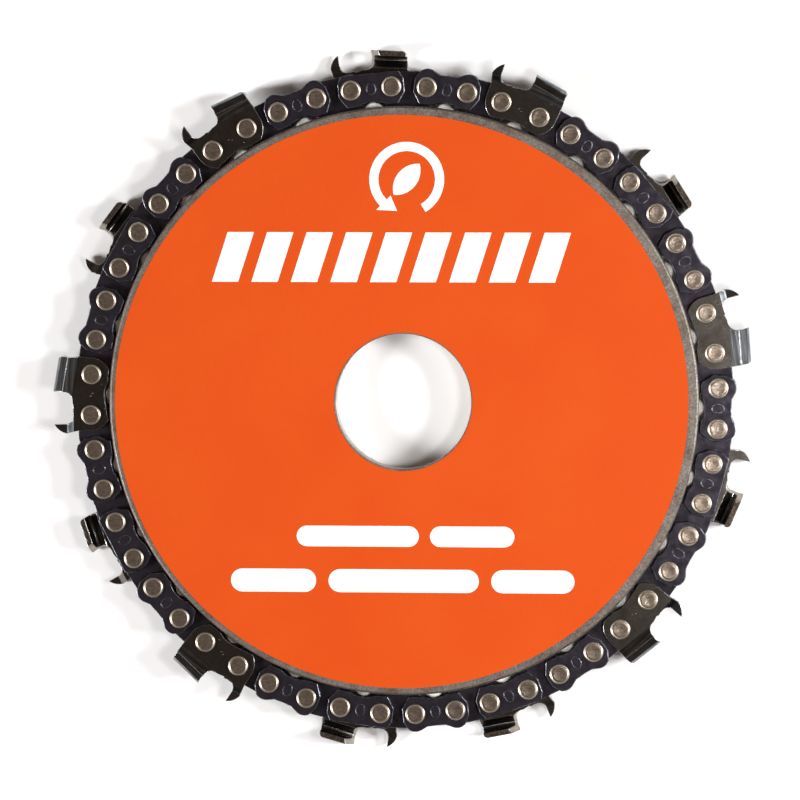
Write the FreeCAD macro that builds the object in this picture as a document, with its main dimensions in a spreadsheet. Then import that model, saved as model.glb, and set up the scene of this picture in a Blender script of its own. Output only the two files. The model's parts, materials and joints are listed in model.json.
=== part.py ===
import FreeCAD, Part
import math
import os
import Sketcher

# A carving disc for a 115 mm angle grinder: a ring of saw chain held round a stack of three
# steel plates. The disc lies flat, +Z comes out of the labelled face, and the origin is the
# middle of the bore. Every link is drawn at the top of the disc (on +Y) and turned to its place.
# Seen from +Z the disc cuts anticlockwise, so a cutter's leading end is on its -X side.

SIZES = (
    ("stations", 26, "strap places round the chain"),
    ("first_station_angle", 95.9, "angle of the first strap place from +X"),
    ("rivet_circle_radius", 51.28, "radius of the ring of rivet axes"),
    ("strap_half_angle", 3.71, "angle from a strap's middle to its rivets"),
    ("bore_radius", 11.115, "22.23 mm grinder spindle bore"),
    ("plate_radius", 48.1, "outer radius of the two clamp plates"),
    ("plate_thickness", 1.8, "thickness of each clamp plate"),
    ("plate_chamfer", 0.3, "chamfer round a clamp plate's rim"),
    ("tooth_plate_half_thickness", 0.7, "half the thickness of the toothed middle plate"),
    ("tooth_tip_radius", 48.95, "radius over the tooth tips"),
    ("tooth_lobe_radius", 1.5, "round of a tooth tip"),
    ("tang_gap", 0.45, "room between a drive tang and the tooth gap"),
    ("label_radius", 46.8, "outer radius of the label"),
    ("label_hole_radius", 11.3, "radius of the label's hole"),
    ("label_thickness", 0.08, "thickness of the label"),
    ("label_shift_x", -0.4, "how far the label's rim lies off centre along X"),
    ("label_shift_y", -0.12, "how far the label's rim lies off centre along Y"),
    ("strap_inner_face", 0.72, "height of a strap's inner face over the mid plane"),
    ("strap_thickness", 1.0, "thickness of straps and cutter side plates"),
    ("foot_radius", 48.5, "radius of the straps' feet"),
    ("drive_half_thickness", 0.635, "half the thickness of a drive link"),
    ("drive_lobe_radius", 2.55, "round of a drive link's two ends"),
    ("drive_hole_radius", 1.55, "rivet hole in a drive link"),
    ("tang_tip_radius", 1.4, "round of a drive tang's tip"),
    ("tang_tip_centre", 46.8, "radius at which that round is centred"),
    ("rivet_hub_radius", 1.5, "thick middle of a rivet, inside the drive link"),
    ("rivet_shank_radius", 1.2, "rivet inside the straps"),
    ("rivet_head_radius", 1.65, "peened rivet head"),
    ("rivet_head_height", 0.4, "height of a rivet head over the strap"),
    ("rivet_flat_radius", 1.22, "flat middle of a rivet head"),
    ("cutter_top_radius", 57.5, "height of the cutting edge"),
    ("cutter_back_drop", 0.9, "fall of the top plate towards its trailing end"),
    ("cutter_length", 6.15, "trailing end of the top plate from the strap's middle"),
    ("cutter_side", 2.85, "furthest bulge of a cutter from the mid plane"),
    ("horn_offset", 0.6, "how far the depth-gauge horn is bent outwards"),
    ("top_plate_reach", 0.9, "how far the top plate passes the mid plane"),
    ("top_plate_thickness", 0.88, "thickness of the top plate"),
    ("file_radius", 1.9, "radius of the file that cuts the gullet"),
    ("file_angle", 22.0, "angle of the filed edge across the chain"),
    ("screw_count", 6, "countersunk screws through the plates"),
    ("screw_circle_radius", 30.0, "radius of the ring of screws"),
    ("screw_radius", 1.95, "screw shank"),
    ("screw_head_radius", 3.5, "countersunk screw head"),
    ("screw_head_recess", 0.05, "how far a screw head lies under the back face"),
    ("screw_depth", 1.2, "how far a screw enters the front plate"),
    ("socket_radius", 1.45, "hexagon socket, to its corners"),
    ("socket_depth", 0.9, "depth of the hexagon socket"),
)

CUTTER_STATIONS = range(0, 26, 2)
FRONT_CUTTER_STATIONS = (2, 6, 10, 16, 20, 24)

doc = FreeCAD.newDocument("carving_disc")
sheet = doc.addObject("Spreadsheet::Sheet", "sizes")
for row, (alias, value, meaning) in enumerate(SIZES, 1):
    sheet.set(f"A{row}", meaning)
    sheet.set(f"B{row}", str(value))
    sheet.setAlias(f"B{row}", alias)
doc.recompute()


def size(alias):
    """A size from the sheet as a number."""
    return float(sheet.get(alias))


PITCH_ANGLE = 360 / size("stations")
DRIVE_HALF_ANGLE = PITCH_ANGLE / 2 - size("strap_half_angle")
STRAP_OUTER_FACE = size("strap_inner_face") + size("strap_thickness")
HEAD_FACE = STRAP_OUTER_FACE + size("rivet_head_height")
PLATE_INNER_FACE = size("tooth_plate_half_thickness")
PLATE_OUTER_FACE = PLATE_INNER_FACE + size("plate_thickness")
OUTSIDE = 70.0
BEND_FOOT = (-1.0, 54.35)
BEND_HEIGHT = 3.3
GULLET_FLOOR = 54.12


def on_circle(radius, degrees_from_top):
    """A point on a circle round the disc's axis; the angle grows towards +X."""
    turn = math.radians(degrees_from_top)
    return radius * math.sin(turn), radius * math.cos(turn)


STRAP_RIVET = on_circle(size("rivet_circle_radius"), size("strap_half_angle"))
DRIVE_RIVET = on_circle(size("rivet_circle_radius"), DRIVE_HALF_ANGLE)


def station_turn(steps):
    """The turn about Z that carries a link from +Y to a strap place, or half way between two."""
    return size("first_station_angle") - 90 - steps * PITCH_ANGLE


def turned(degrees):
    """A placement that turns about the disc's axis."""
    return FreeCAD.Placement(FreeCAD.Vector(0, 0, 0), FreeCAD.Rotation(FreeCAD.Vector(0, 0, 1), degrees))


def new_body(name):
    """A body that may hold several separate solids."""
    body = doc.addObject("PartDesign::Body", name)
    body.Label = name
    body.AllowCompound = True
    return body


def origin_part(body, role):
    """One of a body's own origin planes or axes."""
    return next(item for item in body.Origin.OriginFeatures if item.Role == role)


def new_sketch(body, plane, name, offset=None):
    """A sketch on one of a body's origin planes, moved by an offset in the plane's own axes."""
    sketch = body.newObject("Sketcher::SketchObject", name)
    sketch.AttachmentSupport = (origin_part(body, plane), [""])
    sketch.MapMode = "FlatFace"
    if offset is not None:
        sketch.AttachmentOffset = offset
    return sketch


def raised(height):
    """An offset that lifts a sketch off its plane."""
    return FreeCAD.Placement(FreeCAD.Vector(0, 0, height), FreeCAD.Rotation())


def trace(sketch, start, steps):
    """Draw a closed outline. A step is an end point, or an arc's middle point and its end point."""
    here = FreeCAD.Vector(start[0], start[1], 0)
    for step in steps:
        end = FreeCAD.Vector(step[-2], step[-1], 0)
        if len(step) == 4:
            curve = Part.Arc(here, FreeCAD.Vector(step[0], step[1], 0), end)
        else:
            curve = Part.LineSegment(here, end)
        sketch.addGeometry(curve, False)
        here = end


def ring(sketch, centre, alias):
    """Draw a circle whose radius is tied to the sheet."""
    middle = FreeCAD.Vector(centre[0], centre[1], 0)
    number = sketch.addGeometry(Part.Circle(middle, FreeCAD.Vector(0, 0, 1), size(alias)), False)
    held = sketch.addConstraint(Sketcher.Constraint("Radius", number, size(alias)))
    sketch.setExpression(f"Constraints[{held}]", f"sizes.{alias}")


def pad(body, sketch, name, length, both_sides=False):
    """Raise a sketch by a length given as a sheet expression."""
    feature = body.newObject("PartDesign::Pad", name)
    feature.Profile = sketch
    feature.Midplane = both_sides
    feature.setExpression("Length", length)
    return feature


def revolve(body, sketch, name):
    """Turn a sketch once round its own upright axis."""
    feature = body.newObject("PartDesign::Revolution", name)
    feature.Profile = sketch
    feature.ReferenceAxis = (sketch, ["V_Axis"])
    feature.Angle = 360
    return feature


def cut_through(body, sketch, name):
    """Cut a sketch through everything, both ways."""
    feature = body.newObject("PartDesign::Pocket", name)
    feature.Profile = sketch
    feature.Type = "ThroughAll"
    feature.Midplane = True
    return feature


def repeat_round(body, originals, name, count):
    """Repeat features round the disc's axis."""
    feature = body.newObject("PartDesign::PolarPattern", name)
    feature.Originals = originals
    feature.Axis = (origin_part(body, "Z_Axis"), [""])
    feature.Angle = 360
    feature.Occurrences = count
    body.Tip = feature
    return feature


def reflected(steps, start):
    """The steps that carry a half outline back down its other side, seen in a mirror on the Y axis."""
    points = [start] + [step[-2:] for step in steps]
    back = []
    for number in range(len(steps) - 1, -1, -1):
        end = (-points[number][0], points[number][1])
        step = steps[number]
        back.append((-step[0], step[1], *end) if len(step) == 4 else end)
    return back


def foot_steps():
    """The lower half of a strap's right side: the waist over the tooth plate, then the foot."""
    foot = size("foot_radius")
    inner = on_circle(foot, 2.5)
    outer = on_circle(foot, 4.9)
    return [(0.55 * inner[0], foot + 0.36, *inner), outer]


def strap_outline(humped):
    """The right half of a tie strap: foot, chamfered end, and a humped or a straight outer edge."""
    end = STRAP_RIVET[0] + 2.1
    steps = foot_steps() + [(end, 50.15), (end, 52.35)]
    if humped:
        steps += [(4.65, 53.7), (3.6, 54.15, 2.45, 53.92), (1.5, 53.45), (0.0, 53.4)]
    else:
        steps += [(4.75, 53.6), (0.0, 53.6)]
    return (0.0, size("foot_radius") + 0.5), steps


def draw_strap(body, name, humped, side):
    """Pad one strap on the front (+1) or the back (-1) of the chain."""
    low = size("strap_inner_face") if side > 0 else -STRAP_OUTER_FACE
    sketch = new_sketch(body, "XY_Plane", f"{name}_outline", raised(low))
    start, steps = strap_outline(humped)
    trace(sketch, start, steps + reflected(steps, start))
    for hand in (-1, 1):
        ring(sketch, (hand * STRAP_RIVET[0], STRAP_RIVET[1]), "rivet_shank_radius")
    return pad(body, sketch, f"{name}_plate", "sizes.strap_thickness")


def strap_group(name, side):
    """The plain straps of one side of the chain, one at every second strap place."""
    body = new_body(name)
    strap = draw_strap(body, name, True, side)
    repeat_round(body, [strap], f"{name}_round", len(CUTTER_STATIONS))
    body.Placement = turned(station_turn(1))
    return body


def draw_rivet(body, name, hand):
    """One rivet of a strap pair: hub between the straps, shanks in them, a bevelled head each end."""
    at = FreeCAD.Vector(hand * STRAP_RIVET[0], 0, -STRAP_RIVET[1])
    sketch = new_sketch(body, "XZ_Plane", f"{name}_profile", FreeCAD.Placement(at, FreeCAD.Rotation()))
    hub = size("rivet_hub_radius")
    shank = size("rivet_shank_radius")
    head = size("rivet_head_radius")
    flat = size("rivet_flat_radius")
    inner = size("strap_inner_face")
    rim = STRAP_OUTER_FACE + 0.4 * size("rivet_head_height")
    upper = [(hub, 0), (hub, inner), (shank, inner), (shank, STRAP_OUTER_FACE),
             (head, STRAP_OUTER_FACE), (head, rim), (flat, HEAD_FACE), (0, HEAD_FACE)]
    lower = [(x, -y) for x, y in reversed(upper[1:])]
    trace(sketch, upper[-1], lower + upper[1:])
    return revolve(body, sketch, f"{name}_turned")


def rivet_pair(name):
    """The two rivets of one strap place."""
    body = new_body(name)
    rivets = [draw_rivet(body, f"{name}_lead", -1), draw_rivet(body, f"{name}_trail", 1)]
    return body, rivets


def rivet_group(name):
    """The rivets of all the plain strap pairs."""
    body, rivets = rivet_pair(name)
    repeat_round(body, rivets, f"{name}_round", len(CUTTER_STATIONS))
    body.Placement = turned(station_turn(1))
    return body


def tang_flank():
    """The straight flank of a drive tang: its outward direction on the right-hand side."""
    lobe = size("drive_lobe_radius")
    tip = size("tang_tip_radius")
    along = FreeCAD.Vector(-DRIVE_RIVET[0], size("tang_tip_centre") - DRIVE_RIVET[1], 0)
    lean = (lobe - tip) / along.Length
    along.normalize()
    across = FreeCAD.Vector(-along.y, along.x, 0)
    flank = across * math.sqrt(1 - lean * lean) + along * lean
    return flank.x, flank.y


def drive_link_master():
    """A drive link: two round ends over its rivets and a pointed tang that runs between the plates."""
    body = new_body("drive_link_master")
    sketch = new_sketch(body, "XY_Plane", "drive_outline")
    out_x, out_y = tang_flank()
    lobe = size("drive_lobe_radius")
    tip = size("tang_tip_radius")
    tip_y = size("tang_tip_centre")
    side_x, side_y = DRIVE_RIVET
    low_turn = (math.atan2(out_y, out_x) - math.pi / 2) / 2
    start = (0.0, tip_y - tip)
    steps = [
        (tip * math.cos(low_turn), tip_y + tip * math.sin(low_turn), tip * out_x, tip_y + tip * out_y),
        (side_x + lobe * out_x, side_y + lobe * out_y),
        (side_x + lobe, side_y, side_x, side_y + lobe),
        (0.0, side_y + lobe),
    ]
    trace(sketch, start, steps + reflected(steps, start))
    for hand in (-1, 1):
        ring(sketch, (hand * side_x, side_y), "drive_hole_radius")
    pad(body, sketch, "drive_plate", "2 * sizes.drive_half_thickness", both_sides=True)
    return body


def cutter_slope():
    """How far a cutter's top plate drops towards its back, for each millimetre along it."""
    return size("cutter_back_drop") / size("cutter_length")


def cutter_top(along):
    """The height of a cutter's top plate over the disc's axis, at a distance along the cutter."""
    return size("cutter_top_radius") - cutter_slope() * along


def cutter_section(body, name, side):
    """The bent sheet of a cutter, drawn square to its bend: up, out to the kerf, back over the chain."""
    lean = math.atan(cutter_slope())
    foot = BEND_FOOT[0] - BEND_FOOT[1] * cutter_slope()
    offset = FreeCAD.Placement(FreeCAD.Vector(0, 0, foot),
                               FreeCAD.Rotation(FreeCAD.Vector(0, 1, 0), -math.degrees(lean)))
    sketch = new_sketch(body, "YZ_Plane", f"{name}_section", offset)
    top = cutter_top(foot) * math.cos(lean)
    inner = size("strap_inner_face")
    outer = STRAP_OUTER_FACE
    bulge = size("cutter_side")
    reach = size("top_plate_reach")
    thick = size("top_plate_thickness")
    round_out = 1.6
    round_in = round_out - thick
    half_turn = math.sqrt(0.5)
    low = top - BEND_HEIGHT
    high = top - round_out
    points = [
        (low, outer), (top - 3.1, outer), (high, bulge), (top - 0.55, bulge - 0.42),
        (top - 0.16, bulge - 0.85, top, bulge - 1.5),
        (top, -reach), (top - thick, -reach), (top - thick, bulge - round_out),
        (high + round_in * half_turn, bulge - round_out + round_in * half_turn, high, bulge - thick),
        (top - 2.78, inner), (low, inner),
    ]
    trace(sketch, *on_side(points, side))
    return sketch


def on_side(points, side):
    """An outline drawn for the front, put on the front (+1) or the back (-1), as a start and its steps."""
    placed = [tuple(v * (side if place % 2 else 1) for place, v in enumerate(point)) for point in points]
    return placed[-1], placed


def add_horn(body, name, side):
    """The depth-gauge horn at a cutter's leading end, bent outwards a little above the strap."""
    inner = size("strap_inner_face")
    outer = STRAP_OUTER_FACE
    out = size("horn_offset")
    sketch = new_sketch(body, "YZ_Plane", f"{name}_horn_section", raised(-6.8))
    points = [(53.7, outer), (54.0, outer), (55.0, outer + out), (58.0, outer + out),
              (58.0, inner + out), (55.3, inner + out), (54.3, inner), (53.7, inner)]
    trace(sketch, *on_side(points, side))
    slab = body.newObject("PartDesign::Pad", f"{name}_horn")
    slab.Profile = sketch
    slab.Length = 3.4
    waste = new_sketch(body, "XY_Plane", f"{name}_horn_outline")
    trace(waste, (-6.07, 53.5), [
        (-6.25, 54.2, -6.45, 55.0), (-5.98, 56.2, -5.0, 57.1), (-4.93, 55.3),
        (-4.55, 54.42, -3.6, GULLET_FLOOR), (-3.2, GULLET_FLOOR), (-3.2, 60), (-8, 60), (-8, 53.5),
        (-6.07, 53.5)])
    cut_through(body, waste, f"{name}_horn_shape")


def cutter_master(name, side):
    """A cutter: side plate with depth-gauge horn and filed gullet, and a bent-over top plate."""
    body = new_body(name)
    back = size("cutter_length")
    low = size("strap_inner_face") if side > 0 else -STRAP_OUTER_FACE
    sketch = new_sketch(body, "XY_Plane", f"{name}_outline", raised(low))
    start = (0.0, size("foot_radius") + 0.5)
    drop = BEND_HEIGHT - 0.1
    right = foot_steps() + [(5.5, 49.55, 6.05, 51.2), (back, cutter_top(back) - BEND_HEIGHT),
                            (back, cutter_top(back) - drop), (-0.9, cutter_top(-0.9) - drop), (-2.36, 54.05)]
    left = [(-2.5, 54.22), (-2.9, 54.2), (-3.05, GULLET_FLOOR), (-3.5, GULLET_FLOOR), (-3.5, 53.9),
            (-6.2, 53.9), (-6.05, 53.4), (-5.95, 51.2),
            (-5.45, 49.55, -foot_steps()[1][0], foot_steps()[1][1])]
    trace(sketch, start, right + left + reflected(foot_steps(), start)[1:])
    for hand in (-1, 1):
        ring(sketch, (hand * STRAP_RIVET[0], STRAP_RIVET[1]), "rivet_shank_radius")
    pad(body, sketch, f"{name}_side_plate", "sizes.strap_thickness")
    add_horn(body, name, side)

    bend = body.newObject("PartDesign::Pad", f"{name}_bend")
    bend.Profile = cutter_section(body, name, side)
    bend.Length = back - BEND_FOOT[0] + 0.2

    gullet = body.newObject("PartDesign::SubtractiveCylinder", f"{name}_gullet")
    gullet.AttachmentSupport = (origin_part(body, "XY_Plane"), [""])
    gullet.MapMode = "FlatFace"
    gullet.setExpression("Radius", "sizes.file_radius")
    gullet.Height = 14
    tilt = FreeCAD.Rotation(FreeCAD.Vector(0, 1, 0), -side * size("file_angle"))
    lean = math.tan(math.radians(size("file_angle")))
    middle = FreeCAD.Vector(-1.49 + lean * 2.4, 56.2, 0)
    gullet.AttachmentOffset = FreeCAD.Placement(middle - tilt.multVec(FreeCAD.Vector(0, 0, 7)), tilt)

    corner = new_sketch(body, "XY_Plane", f"{name}_corner")
    radius = 0.57
    top = cutter_top(back)
    trace(corner, (back - radius, 58.5), [
        (back - radius, cutter_top(back - radius)), (back - 0.17, top - 0.15, back, top - radius),
        (back, 52.5), (back + 2, 52.5), (back + 2, 58.5), (back - radius, 58.5)])
    cut_through(body, corner, f"{name}_rounded_corner")
    return body


def placed_copy(name, members, steps):
    """One link of the chain: its master shapes, turned to a strap place."""
    link = doc.addObject("Part::Compound", name)
    link.Label = name
    link.Links = members
    link.Placement = turned(station_turn(steps))
    return link


def screw_holes(body, name, depth=None, low=0.0):
    """A ring of screw holes: through everything, or to a depth from a height."""
    sketch = new_sketch(body, "XY_Plane", name, raised(low))
    ring(sketch, (0, size("screw_circle_radius")), "screw_radius")
    if depth is None:
        hole = cut_through(body, sketch, f"{name}_cut")
    else:
        hole = body.newObject("PartDesign::Pocket", f"{name}_cut")
        hole.Profile = sketch
        hole.Reversed = True
        hole.setExpression("Length", depth)
    repeat_round(body, [hole], f"{name}_round", int(size("screw_count")))


def plate_blank(body, name, low):
    """A round clamp plate with its bore."""
    sketch = new_sketch(body, "XY_Plane", f"{name}_outline", raised(low))
    ring(sketch, (0, 0), "plate_radius")
    ring(sketch, (0, 0), "bore_radius")
    return pad(body, sketch, f"{name}_blank", "sizes.plate_thickness")


def chamfer_rim(body, base, name, height):
    """Chamfer a clamp plate's outer edge on one face."""
    rims = [f"Edge{number}" for number, edge in enumerate(base.Shape.Edges, 1)
            if abs(edge.BoundBox.ZMin - height) < 1e-6 and abs(edge.BoundBox.ZMax - height) < 1e-6
            and edge.BoundBox.XMax > size("plate_radius") - 1e-6]
    feature = body.newObject("PartDesign::Chamfer", name)
    feature.Base = (base, rims)
    feature.setExpression("Size", "sizes.plate_chamfer")
    return feature


def front_plate():
    """The front clamp plate: chamfered rim, bore and blind screw holes from its inner face."""
    body = new_body("front_plate")
    blank = plate_blank(body, "front", PLATE_INNER_FACE)
    doc.recompute()
    chamfer_rim(body, blank, "front_rim", PLATE_OUTER_FACE)
    screw_holes(body, "front_thread", "sizes.screw_depth", PLATE_INNER_FACE)
    return body


def screw_head_low():
    """The height of a screw head's face."""
    return -PLATE_OUTER_FACE + size("screw_head_recess")


def countersink(body, name):
    """The cone under one screw head."""
    at = FreeCAD.Vector(0, 0, -size("screw_circle_radius"))
    sketch = new_sketch(body, "XZ_Plane", f"{name}_profile", FreeCAD.Placement(at, FreeCAD.Rotation()))
    head = size("screw_head_radius")
    shank = size("screw_radius")
    low = screw_head_low()
    trace(sketch, (0, low - 1), [(head, low - 1), (head, low), (shank, low + head - shank),
                                 (0, low + head - shank), (0, low - 1)])
    cone = body.newObject("PartDesign::Groove", name)
    cone.Profile = sketch
    cone.ReferenceAxis = (sketch, ["V_Axis"])
    cone.Angle = 360
    return cone


def back_plate():
    """The back clamp plate: chamfered rim, bore and countersunk screw holes."""
    body = new_body("back_plate")
    blank = plate_blank(body, "back", -PLATE_OUTER_FACE)
    doc.recompute()
    chamfer_rim(body, blank, "back_rim", -PLATE_OUTER_FACE)
    screw_holes(body, "back_hole")
    cone = countersink(body, "back_countersink")
    repeat_round(body, [cone], "back_countersinks", int(size("screw_count")))
    return body


def tooth_gap_steps():
    """Half of the gap between two teeth: out over a tooth tip, down its flank, round the root."""
    lobe = size("tooth_lobe_radius")
    root = size("tang_tip_radius") + size("tang_gap")
    root_y = size("tang_tip_centre")
    tip_x, tip_y = on_circle(size("tooth_tip_radius") - lobe, PITCH_ANGLE / 2)
    across = FreeCAD.Vector(-tip_x, root_y - tip_y, 0)
    lean = (lobe + root) / across.Length
    across.normalize()
    upward = FreeCAD.Vector(across.y, -across.x, 0)
    flank = across * lean + upward * math.sqrt(1 - lean * lean)
    crown = on_circle(1.0, PITCH_ANGLE / 2)
    shoulder = FreeCAD.Vector(crown[0] + flank.x, crown[1] + flank.y, 0)
    shoulder.normalize()
    root_turn = (math.atan2(-flank.y, -flank.x) - math.pi / 2) / 2
    start = (0.0, root_y - root)
    steps = [
        (root * math.cos(root_turn), root_y + root * math.sin(root_turn),
         -root * flank.x, root_y - root * flank.y),
        (tip_x + lobe * flank.x, tip_y + lobe * flank.y),
        (tip_x + lobe * shoulder.x, tip_y + lobe * shoulder.y,
         tip_x + lobe * crown[0], tip_y + lobe * crown[1]),
        on_circle(OUTSIDE, PITCH_ANGLE / 2),
        (0.0, OUTSIDE),
    ]
    return start, steps


def tooth_plate():
    """The middle plate: a round-tipped tooth between every two drive tangs."""
    body = new_body("tooth_plate")
    sketch = new_sketch(body, "XY_Plane", "tooth_blank_outline")
    ring(sketch, (0, 0), "tooth_tip_radius")
    ring(sketch, (0, 0), "bore_radius")
    pad(body, sketch, "tooth_blank", "2 * sizes.tooth_plate_half_thickness", both_sides=True)
    gap = new_sketch(body, "XY_Plane", "tooth_gap_outline")
    start, steps = tooth_gap_steps()
    trace(gap, start, steps + reflected(steps, start))
    cut = cut_through(body, gap, "tooth_gap")
    repeat_round(body, [cut], "tooth_gaps", int(size("stations")))
    screw_holes(body, "tooth_plate_hole")
    body.Placement = turned(station_turn(-0.5))
    return body


def label_disc():
    """The thin round label on the front plate, stuck on a little off centre round its centred hole."""
    body = new_body("label_disc")
    sketch = new_sketch(body, "XY_Plane", "label_outline", raised(PLATE_OUTER_FACE))
    ring(sketch, (size("label_shift_x"), size("label_shift_y")), "label_radius")
    ring(sketch, (0, 0), "label_hole_radius")
    pad(body, sketch, "label_sheet", "sizes.label_thickness")
    return body


def plate_screws():
    """Six countersunk screws with hexagon sockets, entered from the back."""
    body = new_body("plate_screws")
    at = FreeCAD.Vector(0, 0, -size("screw_circle_radius"))
    sketch = new_sketch(body, "XZ_Plane", "screw_profile", FreeCAD.Placement(at, FreeCAD.Rotation()))
    head = size("screw_head_radius")
    shank = size("screw_radius")
    low = screw_head_low()
    high = PLATE_INNER_FACE + size("screw_depth")
    trace(sketch, (0, low), [(head, low), (shank, low + head - shank), (shank, high - 0.3),
                             (shank - 0.3, high), (0, high), (0, low)])
    turned_screw = revolve(body, sketch, "screw_turned")
    socket = new_sketch(body, "XY_Plane", "socket_outline", raised(low))
    corners = [(size("socket_radius") * math.cos(math.radians(60 * n)),
                size("screw_circle_radius") + size("socket_radius") * math.sin(math.radians(60 * n)))
               for n in range(6)]
    trace(socket, corners[-1], corners)
    cut = body.newObject("PartDesign::Pocket", "screw_socket")
    cut.Profile = socket
    cut.Reversed = True
    cut.setExpression("Length", "sizes.socket_depth")
    repeat_round(body, [turned_screw, cut], "screws_round", int(size("screw_count")))
    return body


screwed_together = [front_plate(), back_plate(), plate_screws()]
for piece in screwed_together:
    piece.Placement = turned(station_turn(-0.5))

parts = screwed_together + [tooth_plate(), label_disc()]
parts += [strap_group("tie_straps_front", 1), strap_group("tie_straps_back", -1)]
parts.append(rivet_group("chain_rivets"))

drive_master = drive_link_master()
cutter_masters = {}
strap_masters = {}
for side, face in ((1, "front"), (-1, "back")):
    cutter_masters[side] = cutter_master(f"{face}_cutter_master", side)
    strap_masters[side] = new_body(f"{face}_strap_master")
    draw_strap(strap_masters[side], f"{face}_strap_master", False, side)
rivet_master = rivet_pair("rivet_pair_master")[0]

for number, station in enumerate(CUTTER_STATIONS, 1):
    side = 1 if station in FRONT_CUTTER_STATIONS else -1
    parts.append(placed_copy(f"cutter_{number:02d}", [cutter_masters[side]], station))
    parts.append(placed_copy(f"preset_strap_{number:02d}", [strap_masters[-side], rivet_master], station))
    parts.append(placed_copy(f"drive_link_{2 * number - 1:02d}", [drive_master], station - 0.5))
    parts.append(placed_copy(f"drive_link_{2 * number:02d}", [drive_master], station + 0.5))

doc.recompute()

for item in doc.Objects:
    if {"Invalid", "Error"} & set(item.State):
        raise RuntimeError(f"{item.Label}: {item.State}")
    if item.isDerivedFrom("Part::Feature") and (item.Shape.isNull() or not item.Shape.isValid()):
        raise RuntimeError(f"{item.Label} has no sound shape")
    if item.isDerivedFrom("PartDesign::Pocket") or item.isDerivedFrom("PartDesign::Groove"):
        if abs(item.Shape.Volume - item.BaseFeature.Shape.Volume) < 1e-4:
            raise RuntimeError(f"{item.Label} cut nothing")

os.makedirs("parts", exist_ok=True)
for part in parts:
    part.Shape.exportStep(f"parts/{part.Label}.step")
    print(part.Label, len(part.Shape.Solids), round(part.Shape.Volume, 2))
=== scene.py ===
import json
import math

import bmesh
import bpy
from mathutils import Matrix, Vector


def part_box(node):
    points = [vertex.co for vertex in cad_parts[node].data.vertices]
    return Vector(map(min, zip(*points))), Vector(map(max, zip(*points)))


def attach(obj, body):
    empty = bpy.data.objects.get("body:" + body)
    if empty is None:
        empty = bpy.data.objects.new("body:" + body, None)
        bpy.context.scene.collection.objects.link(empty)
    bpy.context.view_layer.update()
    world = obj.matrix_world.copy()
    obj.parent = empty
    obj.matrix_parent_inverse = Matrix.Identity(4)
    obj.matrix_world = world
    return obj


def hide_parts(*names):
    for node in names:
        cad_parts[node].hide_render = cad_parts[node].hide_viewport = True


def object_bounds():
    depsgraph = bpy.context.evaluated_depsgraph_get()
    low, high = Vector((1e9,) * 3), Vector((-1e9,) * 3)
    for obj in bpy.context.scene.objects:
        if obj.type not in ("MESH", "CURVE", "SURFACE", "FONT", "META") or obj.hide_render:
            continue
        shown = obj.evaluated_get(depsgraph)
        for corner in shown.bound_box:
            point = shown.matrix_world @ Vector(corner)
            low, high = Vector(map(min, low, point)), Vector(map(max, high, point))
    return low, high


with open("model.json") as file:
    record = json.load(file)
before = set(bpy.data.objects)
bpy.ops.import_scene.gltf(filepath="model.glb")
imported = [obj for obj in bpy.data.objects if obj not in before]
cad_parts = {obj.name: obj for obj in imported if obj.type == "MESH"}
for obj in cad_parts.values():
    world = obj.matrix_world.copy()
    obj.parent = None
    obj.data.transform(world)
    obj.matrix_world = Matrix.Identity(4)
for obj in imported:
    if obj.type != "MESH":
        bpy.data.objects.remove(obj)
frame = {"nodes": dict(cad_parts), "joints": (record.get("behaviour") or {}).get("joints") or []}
cad_low, cad_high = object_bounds()

# A saw-chain carving disc that lies flat, label up. Lengths are in metres; MM turns millimetres
# into metres. Links are drawn at the top of the disc (on +Y) and turned to their stations.

MM = 0.001
nodes = frame["nodes"]
joints = {joint["name"]: joint for joint in frame["joints"]}

CUTTERS = 13
STATIONS = 2 * CUTTERS
PITCH = math.tau / STATIONS


def joint_angle(name):
    """The angle of a hinge round the disc's axis."""
    x, y, _ = joints[name]["pos_m"]
    return math.atan2(y, x)


# Where the links stand, from the joints.
FIRST_ANGLE = (joint_angle("lead_hinge_01") + joint_angle("trail_hinge_01")) / 2
STRAP_HALF_ANGLE = joint_angle("cutter_hinge_01") - FIRST_ANGLE
RIVET_RING = Vector(joints["cutter_hinge_01"]["pos_m"]).length
RIVET_X = RIVET_RING * math.sin(STRAP_HALF_ANGLE)
RIVET_Y = RIVET_RING * math.cos(STRAP_HALF_ANGLE)

# The toothed plate's bore wall lies inside this radius, and its teeth outside.
NEAR_BORE = 20 * MM

# Heights above the middle of the disc.
LABEL_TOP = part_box("label_disc")[1].z
HEAD_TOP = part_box("chain_rivets")[1].z
STRAP_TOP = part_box("tie_straps_front")[1].z

# A rivet: its shank, its head, the inside of the head's rolled rim, and the sunk face within the rim.
SHANK_RADIUS = 1.2 * MM
HEAD_RADIUS = 1.65 * MM
RIM_INNER_RADIUS = 1.25 * MM
FACE_RADII = (1.16 * MM, 0.93 * MM, 0.70 * MM, 0.46 * MM, 0.23 * MM, 0)
FACE_EDGE_DEPTH = 0.045 * MM
FACE_DISH = 0.05 * MM

# A cutter at the top of the disc: the round file that cut its gullet; the height from which its faces
# lean with the bend; where its shoulder, horn and top plate begin; how far the top plate reaches back.
FILE_RADIUS = 1.9 * MM
FILE_TILT = math.radians(22)
FILE_CENTRE = Vector((-0.52, 56.2, 0)) * MM
FILE_TOLERANCE = 0.06 * MM
BEND_FOOT = 52 * MM
SHOULDER_FOOT = 54.3 * MM
HORN_FOOT = -3.0 * MM
TOP_PLATE_FOOT = 56 * MM
TOP_PLATE_REACH = 0.85 * MM

# How squarely a cutter's face looks out on the cutter's own side: 1 is straight out, -1 straight back.
LEAST_LEAN = 0.3
MOST_LEAN = 0.97
SHOULDER_CREST = -0.02
STRAIGHT_BACK = -0.9

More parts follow.
